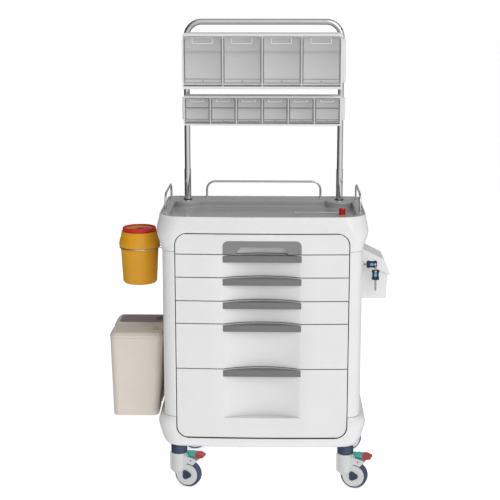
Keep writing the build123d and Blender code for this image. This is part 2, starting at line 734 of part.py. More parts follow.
with BuildPart() as sharps_bucket:
    with BuildSketch(sharps_plane):
        with BuildLine():
            Polyline((0, 735), (58, 735), (63, 741), (69.5, 866), (69.5, 872.2), (75, 872.6), (75.6, 884), (71.5, 903),
                     (69.5, 906), (65.5, 929), (0, 929), (0, 926.5), (63, 926.5), (67, 906), (73.2, 884),
                     (72.8, 875), (67.3, 873), (67.3, 866), (61, 743), (57, 737.5), (0, 737.5), close=True)
        make_face()
    revolve(axis=sharps_axis)
    # drop opening in the top, away from the cart's front
    with BuildSketch(Plane.XY.offset(925)):
        with Locations((SHARPS_X + 16, SHARPS_Y + 22)):
            Circle(34)
    extrude(amount=8, mode=Mode.SUBTRACT)
keep("sharps_bucket", sharps_bucket.part)

with BuildPart() as sharps_lid:
    with BuildSketch(sharps_plane):
        with BuildLine():
            Polyline((0, 929.4), (61, 929.4), (62, 931), (62, 940), (60, 943), (54, 943), (52, 938),
                     (0, 937), close=True)
        make_face()
    revolve(axis=sharps_axis)
    # crescent that turns over the drop opening
    with BuildSketch(Plane.XY.offset(925)):
        with Locations((SHARPS_X - 13, SHARPS_Y - 18)):
            Circle(28)
        with Locations((SHARPS_X + 7, SHARPS_Y - 30)):
            Circle(24, mode=Mode.SUBTRACT)
    extrude(amount=30, mode=Mode.SUBTRACT)
keep("sharps_lid", sharps_lid.part)

with BuildPart() as side_brackets:
    with BuildSketch(Plane(origin=(SHARPS_X + RING_R, SHARPS_Y, RING_Z), z_dir=(0, 1, 0))):
        Circle(WIRE_R)
    revolve(axis=sharps_axis)
    with BuildSketch(Plane.YZ.offset(-PANEL_HALF - 2)):
        with Locations((SHARPS_Y - 22, RING_Z), (SHARPS_Y + 22, RING_Z)):
            Circle(WIRE_R)
    extrude(amount=SHARPS_X + sqrt(RING_R ** 2 - 22 ** 2) + PANEL_HALF + 2)
    with BuildSketch(Plane.YZ.offset(-PANEL_HALF)):
        with Locations((SHARPS_Y, RING_Z - 4)):
            RectangleRounded(70, 36, 5)
    extrude(amount=-3)
    # hanging plate of the waste bins
    with BuildSketch(Plane.YZ.offset(-PANEL_HALF)):
        with Locations((WASTE_MIDDLE, 490)):
            RectangleRounded(230, 60, 6)
    extrude(amount=WASTE_RIGHT + PANEL_HALF)
    # hinge ears of the storage box lid
    for side in (-1, 1):
        with BuildSketch(Plane.XZ.offset(-STORE_MIDDLE - side * LID_EAR_Y)):
            with Locations(((PANEL_HALF + LID_HINGE[0]) / 2, LID_HINGE[1])):
                Rectangle(LID_HINGE[0] - PANEL_HALF, 8)
            with Locations(LID_HINGE):
                Circle(2.9)
                Circle(LID_HINGE_R + 0.05, mode=Mode.SUBTRACT)
        extrude(amount=2, both=True)
keep("side_brackets", side_brackets.part)


def waste_section(height, middle, inset):
    """Outline of one waste bin at a height, tapering towards its foot."""
    rise = (height - WASTE_BOTTOM) / (WASTE_TOP - WASTE_BOTTOM)
    left = WASTE_LEFT + 8 * (1 - rise) + inset
    right = WASTE_RIGHT - 22 * (1 - rise) - inset
    with BuildSketch(Plane.XY.offset(height)) as section:
        with Locations(((left + right) / 2, middle)):
            RectangleRounded(right - left, WASTE_DEPTH - 6 * (1 - rise) - 2 * inset, 26 - inset)
    return section.sketch


with BuildPart() as waste_bins:
    for middle in (WASTE_MIDDLE - WASTE_PITCH / 2, WASTE_MIDDLE + WASTE_PITCH / 2):
        loft(sections=[waste_section(WASTE_BOTTOM, middle, 0), waste_section(WASTE_TOP, middle, 0)])
        loft(sections=[waste_section(WASTE_BOTTOM + 3, middle, 2.5), waste_section(WASTE_TOP, middle, 2.5)],
             mode=Mode.SUBTRACT)
keep("waste_bins", waste_bins.part)

for name, middle in (("front", WASTE_MIDDLE - WASTE_PITCH / 2), ("rear", WASTE_MIDDLE + WASTE_PITCH / 2)):
    centre = (WASTE_LEFT + WASTE_RIGHT) / 2
    length = WASTE_RIGHT - WASTE_LEFT
    with BuildPart() as waste_lid:
        rings = []
        for height, inset in ((WASTE_TOP + 9, 0), (WASTE_TOP + 19, 9)):
            with BuildSketch(Plane.XY.offset(height), mode=Mode.PRIVATE) as ring:
                with Locations((centre, middle)):
                    RectangleRounded(length - 2 * inset, WASTE_DEPTH - 2 * inset, 26 - inset)
            rings.append(ring.sketch)
        extrude(rings[0], amount=8.5, dir=(0, 0, -1))
        loft(sections=rings)
        # hollow underside
        with BuildSketch(Plane.XY.offset(WASTE_TOP)):
            with Locations((centre, middle)):
                RectangleRounded(length - 24, WASTE_DEPTH - 24, 16)
        extrude(amount=14, mode=Mode.SUBTRACT)
        # push button
        with BuildSketch(Plane.XY.offset(WASTE_TOP + 18)):
            with Locations((WASTE_RIGHT - 34, middle)):
                RectangleRounded(22, 30, 3)
        extrude(amount=3)
        with BuildSketch(Plane.XZ.offset(-middle)):
            with Locations((WASTE_LEFT - 0.5, WASTE_TOP + 3.2)):
                Circle(2.6)
        extrude(amount=WASTE_DEPTH / 2 - 28, both=True)
    keep(f"waste_lid_{name}", waste_lid.part)


# ---------------------------------------------------------------- storage box

with BuildPart() as storage_box:
    for inset, mode in ((0, Mode.ADD), (3, Mode.SUBTRACT)):
        with BuildSketch(Plane.XZ.offset(-STORE_MIDDLE)):
            with BuildLine():
                lift = 4 * inset
                Polyline((STORE_LEFT + inset, 702 + inset), (STORE_LEFT + 8, 695 + inset),
                         (452 - inset, 695 + inset), (STORE_RIGHT - inset, STORE_LOW + lift),
                         (STORE_LEFT + inset, STORE_HIGH + lift), close=True)
            make_face()
        extrude(amount=STORE_DEPTH / 2 - inset, both=True, mode=mode)
keep("storage_box", storage_box.part)

lid_slope = Plane(origin=(STORE_LEFT + 1, STORE_MIDDLE, STORE_HIGH + 0.6),
                  x_dir=(STORE_RIGHT - STORE_LEFT, 0, STORE_LOW - STORE_HIGH),
                  z_dir=(STORE_HIGH - STORE_LOW, 0, STORE_RIGHT - STORE_LEFT))


def lid_outline(height, start, end, depth):
    """Rectangle parallel to the sloped rim, from start at the upright cart side to end."""
    start = start - LID_LEAN * height / LID_HEIGHT
    with BuildSketch(lid_slope.offset(height)) as lid_face:
        with Locations(((start + end) / 2, 0)):
            Rectangle(end - start, depth)
    return lid_face.sketch


with BuildPart() as storage_box_lid:
    loft(sections=[lid_outline(0, 0, 121, STORE_DEPTH + 10),
                   lid_outline(LID_HEIGHT, 0, 74.7, STORE_DEPTH - 44)], ruled=True)
    loft(sections=[lid_outline(-1, 3.4, 118, STORE_DEPTH + 4),
                   lid_outline(LID_HEIGHT - 3, 3.4, 73, STORE_DEPTH - 46)], ruled=True, mode=Mode.SUBTRACT)
    # notches for the two hinge ears, and the pin that runs through them
    for side in (-1, 1):
        with BuildSketch(Plane.XZ.offset(-STORE_MIDDLE - side * LID_EAR_Y)):
            with Locations(LID_HINGE):
                Rectangle(12, 12)
        extrude(amount=2.4, both=True, mode=Mode.SUBTRACT)
    with BuildSketch(Plane.XZ.offset(-STORE_MIDDLE)):
        with Locations(LID_HINGE):
            Circle(LID_HINGE_R)
    extrude(amount=LID_EAR_Y + 6, both=True)
keep("storage_box_lid", storage_box_lid.part)


# ---------------------------------------------------------------- lock, keys, knob

with BuildPart() as lock_barrel:
    with BuildSketch(Plane.YZ.offset(PANEL_HALF - 24)):
        with Locations((LOCK_Y, LOCK_Z)):
            Circle(LOCK_BODY_R)
    extrude(amount=24)
    with BuildSketch(Plane.YZ.offset(PANEL_HALF)):
        with Locations((LOCK_Y, LOCK_Z)):
            Circle(12.5)
    extrude(amount=4, taper=12)
    with BuildSketch(Plane.YZ.offset(PANEL_HALF - 20)):
        with Locations((LOCK_Y, LOCK_Z)):
            Circle(6.55)
    extrude(amount=40, mode=Mode.SUBTRACT)
keep("lock_barrel", lock_barrel.part)

with BuildPart() as lock_key:
    # plug that turns in the barrel, then blade, head and eye
    with BuildSketch(Plane.YZ.offset(PANEL_HALF - 19.5)):
        with Locations((LOCK_Y, LOCK_Z)):
            Circle(6.5)
    extrude(amount=23)
    with BuildSketch(Plane.XZ.offset(-LOCK_Y)):
        with Locations((PANEL_HALF + 10, LOCK_Z)):
            Rectangle(16, 8)
    extrude(amount=1, both=True)
    with BuildSketch(Plane.XZ.offset(-LOCK_Y)) as head:
        with Locations((KEY_EYE_X - 20.5, LOCK_Z)):
            RectangleRounded(29, 28, 6)
        with Locations((KEY_EYE_X - 5, LOCK_Z)):
            Rectangle(10, 11.6)
        with Locations((KEY_EYE_X, LOCK_Z)):
            Circle(5.8)
            Circle(3.8, mode=Mode.SUBTRACT)
    extrude(amount=KEY_HALF, both=True)
keep("lock_key", lock_key.part)

with BuildPart() as hanging_key:
    ring_start = Plane(origin=(KEY_EYE_X, LOCK_Y, LOCK_Z), z_dir=(0, 1, 0))
    with BuildSketch(ring_start):
        Circle(0.9)
    revolve(axis=Axis((KEY_EYE_X, LOCK_Y, LOCK_Z - KEY_RING_R), (1, 0, 0)))
    with BuildSketch(Plane.XZ.offset(-LOCK_Y)):
        with Locations((KEY_EYE_X, LOCK_Z - 2 * KEY_RING_R - 13)):
            RectangleRounded(27, 38, 6)
        with Locations((KEY_EYE_X, LOCK_Z - 2 * KEY_RING_R)):
            Circle(3.2, mode=Mode.SUBTRACT)
    extrude(amount=KEY_HALF, both=True)
    with BuildSketch(Plane.XZ.offset(-LOCK_Y)):
        with BuildLine():
            Polyline((KEY_EYE_X - 4, 775), (KEY_EYE_X - 4, 738), (KEY_EYE_X, 732), (KEY_EYE_X + 4, 738),
                     (KEY_EYE_X + 4, 775), close=True)
        make_face()
    extrude(amount=1, both=True)
keep("hanging_key", hanging_key.part)

with BuildPart() as red_knob:
    with BuildSketch(Plane.XY.offset(TRAY_FLOOR + KNOB_SEAT + 0.2)):
        with Locations(KNOB_POINT):
            Circle(KNOB_R)
    extrude(amount=25, taper=1.5)
    fillet(red_knob.edges().group_by(Axis.Z)[-1], 4)
    with BuildSketch(Plane.YZ.offset(KNOB_POINT[0] - KNOB_R - 2)):
        with Locations((KNOB_POINT[1], ROD_Z)):
            Circle(ROD_R)
    extrude(amount=8, mode=Mode.SUBTRACT)
keep("red_knob", red_knob.part)

with BuildPart() as seal_rod:
    with BuildLine() as rod_path:
        FilletPolyline((KNOB_POINT[0] - KNOB_R + 6, KNOB_POINT[1], ROD_Z), (112, KNOB_POINT[1], ROD_Z),
                       (108, KNOB_POINT[1] - 15, ROD_Z), (136, KNOB_POINT[1] - 15, ROD_Z), radius=5.5)
    with BuildSketch(Plane(origin=(KNOB_POINT[0] - KNOB_R + 6, KNOB_POINT[1], ROD_Z), z_dir=(-1, 0, 0))):
        Circle(ROD_R)
    sweep()
    with BuildSketch(Plane.YZ.offset(138)):
        with Locations((KNOB_POINT[1], ROD_Z)):
            Circle(2.4)
    extrude(amount=6)
keep("seal_rod", seal_rod.part)

# ---------------------------------------------------------------- export about the footprint's middle

boxes = [piece.bounding_box() for piece in pieces.values()]
middle_x = (min(box.min.X for box in boxes) + max(box.max.X for box in boxes)) / 2
middle_y = (min(box.min.Y for box in boxes) + max(box.max.Y for box in boxes)) / 2
print("origin shift", -middle_x, -middle_y)
for name, piece in pieces.items():
    placed = Pos(-middle_x, -middle_y, 0) * piece
    placed.label = name
    export_step(placed, f"parts/{name}.step")
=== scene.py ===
import json
from math import cos, pi, radians, sin

import bmesh
import bpy
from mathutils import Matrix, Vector, geometry


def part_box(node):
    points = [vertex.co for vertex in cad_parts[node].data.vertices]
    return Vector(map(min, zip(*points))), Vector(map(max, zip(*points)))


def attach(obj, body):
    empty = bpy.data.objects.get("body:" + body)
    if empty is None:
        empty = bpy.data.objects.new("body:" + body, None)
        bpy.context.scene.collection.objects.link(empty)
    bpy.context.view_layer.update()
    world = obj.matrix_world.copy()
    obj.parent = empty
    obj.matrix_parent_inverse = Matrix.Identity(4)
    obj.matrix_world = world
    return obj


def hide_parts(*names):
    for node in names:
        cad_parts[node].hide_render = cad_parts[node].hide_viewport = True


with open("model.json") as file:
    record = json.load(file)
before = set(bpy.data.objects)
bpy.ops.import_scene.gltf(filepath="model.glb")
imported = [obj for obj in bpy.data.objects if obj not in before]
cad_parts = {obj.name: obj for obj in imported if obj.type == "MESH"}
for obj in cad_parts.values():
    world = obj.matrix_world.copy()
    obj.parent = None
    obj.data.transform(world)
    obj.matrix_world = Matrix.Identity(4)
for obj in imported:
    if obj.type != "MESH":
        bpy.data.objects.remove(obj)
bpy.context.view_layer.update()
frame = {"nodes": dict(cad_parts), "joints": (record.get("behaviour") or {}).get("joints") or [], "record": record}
nodes = frame["nodes"]
joints = {joint["name"]: joint for joint in frame["joints"]}

MM = 0.001
SHARP = radians(32)       # edges that turn more than this stay crisp
CASTERS = ("front_left", "front_right", "rear_left", "rear_right")
UP = Vector((0, 0, 1))


# ---------------------------------------------------------------- materials

def plastic(name, color, roughness=0.3, metallic=0.0, coat=0.0, alpha=1.0, grain=900.0, bump=0.05,
            tone=0.03, uneven=0.06, stretch=(1, 1, 1)):
    """Surface with a slow drift of colour, uneven gloss and a fine grain. Metals use it too."""
    made = bpy.data.materials.new(name)
    made.use_nodes = True
    tree = made.node_tree
    shader = tree.nodes["Principled BSDF"]
    shader.inputs["Metallic"].default_value = metallic
    shader.inputs["Coat Weight"].default_value = coat
    shader.inputs["Coat Roughness"].default_value = 0.08
    shader.inputs["Alpha"].default_value = alpha
    place = tree.nodes.new("ShaderNodeTexCoord")
    mapping = tree.nodes.new("ShaderNodeMapping")
    mapping.inputs["Scale"].default_value = stretch
    tree.links.new(place.outputs["Object"], mapping.inputs["Vector"])

    def noise(scale, detail):
        made_noise = tree.nodes.new("ShaderNodeTexNoise")
        made_noise.inputs["Scale"].default_value = scale
        made_noise.inputs["Detail"].default_value = detail
        tree.links.new(mapping.outputs["Vector"], made_noise.inputs["Vector"])
        return made_noise.outputs["Fac"]

    drift = tree.nodes.new("ShaderNodeValToRGB")
    for stop, position, change in zip(drift.color_ramp.elements, (0.3, 0.7), (1 - tone, 1 + tone)):
        stop.position = position
        stop.color = (*(min(1.0, part * change) for part in color), 1)
    tree.links.new(noise(7.0, 3.0), drift.inputs["Fac"])
    tree.links.new(drift.outputs["Color"], shader.inputs["Base Color"])

    gloss = tree.nodes.new("ShaderNodeMapRange")
    gloss.inputs["From Min"].default_value = 0.3
    gloss.inputs["From Max"].default_value = 0.7
    gloss.inputs["To Min"].default_value = max(0.02, roughness - uneven / 2)
    gloss.inputs["To Max"].default_value = roughness + uneven / 2
    tree.links.new(noise(38.0, 4.0), gloss.inputs["Value"])
    tree.links.new(gloss.outputs["Result"], shader.inputs["Roughness"])

    relief = tree.nodes.new("ShaderNodeBump")
    relief.inputs["Strength"].default_value = bump
    relief.inputs["Distance"].default_value = 0.4 * MM
    tree.links.new(noise(grain, 2.0), relief.inputs["Height"])
    tree.links.new(relief.outputs["Normal"], shader.inputs["Normal"])
    return made


def recolour(made, blend_type, factor=None, colour=None, value=None):
    """Lays a mix over the material's base colour, with a fixed or linked factor and second input."""
    tree = made.node_tree
    base = tree.nodes["Principled BSDF"].inputs["Base Color"]
    blend = tree.nodes.new("ShaderNodeMix")
    blend.data_type = "RGBA"
    blend.blend_type = blend_type
    tree.links.new(base.links[0].from_socket, blend.inputs["A"])
    if factor is None:
        blend.inputs["Factor"].default_value = 1.0
    else:
        tree.links.new(factor, blend.inputs["Factor"])
    if value is None:
        blend.inputs["B"].default_value = (*colour, 1)
    else:
        tree.links.new(value, blend.inputs["B"])
    tree.links.new(blend.outputs["Result"], base)
    return made


def two_tone(made, point, direction, beyond):
    """Recolours the material where a place lies further than point along direction."""
    tree = made.node_tree
    place = tree.nodes.new("ShaderNodeTexCoord")
    offset = tree.nodes.new("ShaderNodeVectorMath")
    offset.operation = "SUBTRACT"
    offset.inputs[1].default_value = point
    along = tree.nodes.new("ShaderNodeVectorMath")
    along.operation = "DOT_PRODUCT"
    along.inputs[1].default_value = direction
    above = tree.nodes.new("ShaderNodeMath")
    above.operation = "GREATER_THAN"
    above.inputs[1].default_value = 0.0
    tree.links.new(place.outputs["Object"], offset.inputs[0])
    tree.links.new(offset.outputs["Vector"], along.inputs[0])
    tree.links.new(along.outputs["Value"], above.inputs[0])
    return recolour(made, "MIX", factor=above.outputs["Value"], colour=beyond)


def painted_shade_gradient(made, direction, low, high):
    """Paints shade that darkens the material steadily along a direction across the piece's own box."""
    tree = made.node_tree
    place = tree.nodes.new("ShaderNodeTexCoord")
    along = tree.nodes.new("ShaderNodeVectorMath")
    along.operation = "DOT_PRODUCT"
    along.inputs[1].default_value = direction
    scale = tree.nodes.new("ShaderNodeMapRange")
    scale.inputs["To Min"].default_value = low
    scale.inputs["To Max"].default_value = high
    tree.links.new(place.outputs["Generated"], along.inputs[0])
    tree.links.new(along.outputs["Value"], scale.inputs["Value"])
    return recolour(made, "MULTIPLY", value=scale.outputs["Result"])


def painted_crease_shade(made, reach=0.006):
    """Paints shade inside narrow gaps and creases, where ambient occlusion finds nearby surfaces."""
    tree = made.node_tree
    shade = tree.nodes.new("ShaderNodeAmbientOcclusion")
    shade.samples = 6
    shade.inputs["Distance"].default_value = reach
    scale = tree.nodes.new("ShaderNodeMapRange")
    scale.inputs["From Min"].default_value = 0.10
    scale.inputs["From Max"].default_value = 0.48
    scale.inputs["To Min"].default_value = 0.08
    tree.links.new(shade.outputs["AO"], scale.inputs["Value"])
    return recolour(made, "MULTIPLY", value=scale.outputs["Result"])


def disc_tone(made, centre, radius, within):
    """Recolours the material inside an upright cylinder about centre."""
    tree = made.node_tree
    place = tree.nodes.new("ShaderNodeTexCoord")
    level = tree.nodes.new("ShaderNodeVectorMath")
    level.operation = "MULTIPLY"
    level.inputs[1].default_value = (1, 1, 0)
    away = tree.nodes.new("ShaderNodeVectorMath")
    away.operation = "DISTANCE"
    away.inputs[1].default_value = (centre.x, centre.y, 0)
    inside = tree.nodes.new("ShaderNodeMath")
    inside.operation = "LESS_THAN"
    inside.inputs[1].default_value = radius
    tree.links.new(place.outputs["Object"], level.inputs[0])
    tree.links.new(level.outputs["Vector"], away.inputs[0])
    tree.links.new(away.outputs["Value"], inside.inputs[0])
    return recolour(made, "MIX", factor=inside.outputs["Value"], colour=within)


# the white and drawer mouldings carry painted shade in their gaps and creases
white = painted_crease_shade(plastic("white_moulding", (0.74, 0.74, 0.745), 0.30, coat=0.25, bump=0.03, tone=0.012))
drawer_white = painted_crease_shade(plastic("drawer_moulding", (0.73, 0.73, 0.735), 0.34, coat=0.15, bump=0.03, tone=0.014))
cabinet_white = plastic("bin_frame_moulding", (0.70, 0.70, 0.70), 0.38, bump=0.06, tone=0.015)
worktop_grey = plastic("worktop_moulding", (0.36, 0.36, 0.355), 0.22, coat=0.35, bump=0.02, tone=0.03)
pull_grey = plastic("pull_moulding", (0.16, 0.16, 0.162), 0.42, grain=1500, bump=0.25, tone=0.05)
arch_grey = plastic("arched_grip_moulding", (0.21, 0.21, 0.212), 0.42, grain=1500, bump=0.25, tone=0.05)
frame_steel = plastic("powder_coat", (0.52, 0.52, 0.53), 0.5, grain=1200, bump=0.3, tone=0.03)
slide_steel = plastic("zinc_plate", (0.55, 0.56, 0.58), 0.35, metallic=1, grain=260, bump=0.12, tone=0.08,
                      stretch=(1, 0.03, 1))
chrome = plastic("chromed_tube", (0.64, 0.64, 0.65), 0.10, metallic=1, grain=500, bump=0.02, tone=0.03)
bright_steel = plastic("bright_steel", (0.66, 0.66, 0.68), 0.22, metallic=1, grain=400, bump=0.05, tone=0.05)
# the clear bins carry painted shade, darker towards the upper right of each bin
smoke = painted_shade_gradient(plastic("smoked_clear_moulding", (0.80, 0.80, 0.805), 0.15, coat=0.2, alpha=0.58, bump=0.02,
                       tone=0.02),
               (0.4, 0, 0.6), 1.0, 0.62)
clear_edge = plastic("clear_edge_moulding", (0.88, 0.88, 0.885), 0.2, alpha=0.8, bump=0.04, tone=0.03)
smoke_edge = plastic("smoked_edge_moulding", (0.15, 0.15, 0.155), 0.3, alpha=0.75, bump=0.04, tone=0.05)
navy = plastic("navy_moulding", (0.035, 0.055, 0.11), 0.42, bump=0.12, tone=0.06)
tyre_navy = plastic("tyre_rubber", (0.042, 0.062, 0.125), 0.5, grain=1400, bump=0.3, tone=0.08, uneven=0.12)
fork_grey = plastic("fork_moulding", (0.60, 0.605, 0.605), 0.36, bump=0.1, tone=0.02)
sharps_yellow = plastic("yellow_moulding", (0.70, 0.32, 0.0), 0.45, coat=0.0, grain=500, bump=0.08, tone=0.05)
sharps_red = plastic("red_moulding", (0.56, 0.006, 0.010), 0.45, coat=0.0, bump=0.06, tone=0.05)
beige = plastic("champagne_moulding", (0.66, 0.60, 0.535), 0.38, coat=0.1, grain=700, bump=0.06, tone=0.03)
mauve = plastic("mauve_moulding", (0.23, 0.18, 0.19), 0.5, bump=0.06, tone=0.04)
gold = plastic("gold_button", (0.58, 0.37, 0.13), 0.3, coat=0.3, bump=0.05, tone=0.06)
brown = plastic("brown_button", (0.06, 0.022, 0.014), 0.5, coat=0.0, bump=0.05, tone=0.08)
key_black = plastic("key_moulding", (0.010, 0.011, 0.022), 0.4, grain=1600, bump=0.2, tone=0.1)
key_blue = plastic("key_dot", (0.045, 0.40, 0.75), 0.35, coat=0.1, bump=0.04, tone=0.1)
blade_steel = plastic("blade_steel", (0.34, 0.34, 0.35), 0.38, metallic=1, grain=400, bump=0.08, tone=0.06)
knob_red = plastic("knob_moulding", (0.66, 0.006, 0.008), 0.12, coat=0.6, bump=0.03, tone=0.05)
dark = plastic("dark_fastener", (0.03, 0.03, 0.032), 0.4, metallic=0.3, bump=0.1, tone=0.1)

BY_SLOT = {
    "white_shell": white, "drawer_white": drawer_white, "worktop_grey": worktop_grey, "pull_grey": pull_grey,
    "frame_steel": frame_steel, "slide_steel": slide_steel, "chrome_tube": chrome,
    "cabinet_white": cabinet_white, "clear_bin": smoke, "navy_plastic": navy, "fork_grey": fork_grey,
    "wheel_navy": tyre_navy, "sharps_yellow": sharps_yellow, "sharps_red": sharps_red,
    "bracket_steel": bright_steel, "waste_beige": beige, "waste_lid_beige": beige, "box_white": white,
    "lock_chrome": chrome, "key_black": key_black, "knob_red": knob_red, "rod_steel": bright_steel,
    "pedal_teal": navy,
}


# ---------------------------------------------------------------- CAD nodes

def soft_edge_nodes():
    """Geometry nodes that weld a CAD mesh and shade it smooth, except over its sharp edges."""
    tree = bpy.data.node_groups.new("smooth_by_angle", "GeometryNodeTree")
    tree.interface.new_socket("Geometry", in_out="INPUT", socket_type="NodeSocketGeometry")
    tree.interface.new_socket("Geometry", in_out="OUTPUT", socket_type="NodeSocketGeometry")
    start = tree.nodes.new("NodeGroupInput")
    end = tree.nodes.new("NodeGroupOutput")
    weld = tree.nodes.new("GeometryNodeMergeByDistance")
    weld.inputs["Distance"].default_value = 0.00001
    plain = tree.nodes.new("GeometryNodeRemoveAttribute")
    plain.inputs["Name"].default_value = "custom_normal"
    faces = tree.nodes.new("GeometryNodeSetShadeSmooth")
    edges = tree.nodes.new("GeometryNodeSetShadeSmooth")
    edges.domain = "EDGE"
    edges.inputs["Shade Smooth"].default_value = False
    angle = tree.nodes.new("GeometryNodeInputMeshEdgeAngle")
    sharp = tree.nodes.new("FunctionNodeCompare")
    sharp.operation = "GREATER_THAN"
    sharp.inputs["B"].default_value = SHARP
    tree.links.new(start.outputs[0], plain.inputs["Geometry"])
    tree.links.new(plain.outputs["Geometry"], weld.inputs["Geometry"])
    tree.links.new(weld.outputs["Geometry"], faces.inputs["Geometry"])
    tree.links.new(faces.outputs["Geometry"], edges.inputs["Geometry"])
    tree.links.new(angle.outputs["Unsigned Angle"], sharp.inputs["A"])
    tree.links.new(sharp.outputs["Result"], edges.inputs["Selection"])
    tree.links.new(edges.outputs["Geometry"], end.inputs[0])
    return tree


smooth_by_angle = soft_edge_nodes()


def finish_edges(piece, width):
    """Smooth shading and a small round along every sharp edge, as modifiers."""
    shading = piece.modifiers.new("shading", "NODES")
    shading.node_group = smooth_by_angle
    if width:
        rounding = piece.modifiers.new("rounding", "BEVEL")
        rounding.limit_method = "ANGLE"
        rounding.angle_limit = SHARP
        rounding.width = width
        rounding.segments = 2
        rounding.harden_normals = True


def paint(piece, made):
    if piece.material_slots:
        for place in piece.material_slots:
            place.material = made
    else:
        piece.data.materials.append(made)


FINE_EDGES = {"mast_tube": 0.0, "guard_rails": 0.0, "seal_rod": 0.0, "side_brackets": 0.3, "post_sleeves": 0.3,
              "slide_channels": 0.0, "lock_barrel": 0.5, "waste_bins": 0.6, "top_shell": 1.0, "base_shell": 1.0}

for entry in frame["record"]["subparts"]:
    name = entry["node"]
    paint(nodes[name], BY_SLOT[entry["material_slot"]])
    finish_edges(nodes[name], FINE_EDGES.get(name, 0.7) * MM)
paint(nodes["pull_1"], arch_grey)


# ---------------------------------------------------------------- mesh helpers

def piece_from(bm, name, made, body, round_by=0.0):
    """Turns a bmesh into a named piece that rides on a body."""
    bmesh.ops.recalc_face_normals(bm, faces=bm.faces)
    mesh = bpy.data.meshes.new(name)
    bm.to_mesh(mesh)
    bm.free()
    piece = bpy.data.objects.new(name, mesh)
    bpy.context.scene.collection.objects.link(piece)
    mesh.materials.append(made)
    finish_edges(piece, round_by * MM)
    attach(piece, body)
    return piece


def bridge_rings(bm, rings, closed_ends=True):
    """Faces between rings of the same number of points, with the first and last filled."""
    made = [[bm.verts.new(point) for point in ring] for ring in rings]
    for ring_a, ring_b in zip(made, made[1:]):
        for i in range(len(ring_a)):
            j = (i + 1) % len(ring_a)
            bm.faces.new((ring_a[i], ring_a[j], ring_b[j], ring_b[i]))
    if closed_ends:
        bm.faces.new(made[0][::-1])
        bm.faces.new(made[-1])
    return made


def rounded_rectangle(width, height, corner, steps=6):
    """Points of a rounded rectangle about the origin, as (u, v)."""
    points = []
    for quarter, (side_u, side_v) in enumerate(((1, 1), (-1, 1), (-1, -1), (1, -1))):
        for step in range(steps + 1):
            turn = (quarter + step / steps) * pi / 2
            points.append((side_u * (width / 2 - corner) + corner * cos(turn),
                           side_v * (height / 2 - corner) + corner * sin(turn)))
    return points


def plate(name, centre, across, up, outline, thickness, made, body, soft=0.4):
    """Flat piece with a given outline and softened front edge, standing out of centre along its normal."""
    normal = across.cross(up).normalized()
    bm = bmesh.new()

    def ring(depth, shrink):
        return [centre + across * (u * (1 - shrink)) + up * (v * (1 - shrink)) + normal * depth for u, v in outline]

    largest = max(abs(value) for point in outline for value in point)
    bridge_rings(bm, [ring(0, 0), ring(thickness - soft * MM, 0), ring(thickness, soft * MM / largest)])
    return piece_from(bm, name, made, body)


def lathe(name, centre, axis, profile, made, body, turns=32):
    """Turned piece: profile holds (radius, height) along axis from centre."""
    side = axis.orthogonal().normalized()
    other = axis.cross(side)
    bm = bmesh.new()
    rings = [[centre + axis * height + (side * cos(2 * pi * i / turns) + other * sin(2 * pi * i / turns)) * radius
              for i in range(turns)] for radius, height in profile]
    bridge_rings(bm, rings)
    return piece_from(bm, name, made, body)


def screw(name, centre, axis, radius, body):
    """Pan head screw with a hexagon socket."""
    profile = [(radius, 0), (radius, 0.35 * radius), (0.8 * radius, 0.6 * radius), (0.5 * radius, 0.68 * radius),
               (0.48 * radius, 0.3 * radius), (0.1 * radius, 0.28 * radius)]
    return lathe(name, centre, axis, profile, dark, body, turns=24)


def middle(low, high):
    return (low + high) / 2


# ---------------------------------------------------------------- worktop with a rolled tray edge

ROLL = 8 * MM             # rolled edge of the deck
FOOT = 6 * MM             # round at the foot of the tray wall
RIM = 2 * MM              # round along the outer edge of the deck
TRAY_SKIN = 3 * MM        # tray floor above the underside
STEP = 2 * MM             # spacing of the points along an outline


def rim_loops(node, height):
    """Closed outlines of a node's flat face at a height, longest first, as (x, y) vectors."""
    bm = bmesh.new()
    bm.from_mesh(node.data)
    bmesh.ops.remove_doubles(bm, verts=bm.verts, dist=0.00001)
    near = {}
    for edge in bm.edges:
        level = all(abs(vert.co.z - height) < 0.00002 for vert in edge.verts)
        flat = [abs(face.normal.z) > 0.99 for face in edge.link_faces]
        if level and sorted(flat) == [False, True]:
            a, b = edge.verts
            near.setdefault(a.index, []).append(b)
            near.setdefault(b.index, []).append(a)
    places = {vert.index: vert.co.xy.copy() for vert in bm.verts}
    loops = []
    while near:
        start = next(iter(near))
        loop = [start]
        while True:
            ways = [vert.index for vert in near.pop(loop[-1]) if vert.index in near]
            if not ways:
                break
            loop.append(ways[0])
        loops.append([places[i] for i in loop])
    bm.free()
    return sorted(loops, key=lambda loop: -length_of(loop))


def length_of(loop):
    return sum((a - b).length for a, b in zip(loop, loop[1:] + loop[:1]))


def even_loop(loop, step):
    """The loop resampled at an even spacing, anticlockwise."""
    if geometry_area(loop) < 0:
        loop = loop[::-1]
    total = length_of(loop)
    count = max(24, round(total / step))
    points = []
    travelled = 0.0
    for a, b in zip(loop, loop[1:] + loop[:1]):
        span = (b - a).length
        while len(points) < count and len(points) * total / count <= travelled + span:
            points.append(a.lerp(b, (len(points) * total / count - travelled) / span))
        travelled += span
    return points


def geometry_area(loop):
    return sum(a.x * b.y - b.x * a.y for a, b in zip(loop, loop[1:] + loop[:1])) / 2


def grown(loop, distance):
    """The loop moved outwards by a distance."""
    moved = []
    count = len(loop)
    for i, point in enumerate(loop):
        along = (loop[(i + 1) % count] - loop[i - 1]).normalized()
        moved.append(point + Vector((along.y, -along.x)) * distance)
    return moved


def lifted(loop, height):
    return [Vector((point.x, point.y, height)) for point in loop]


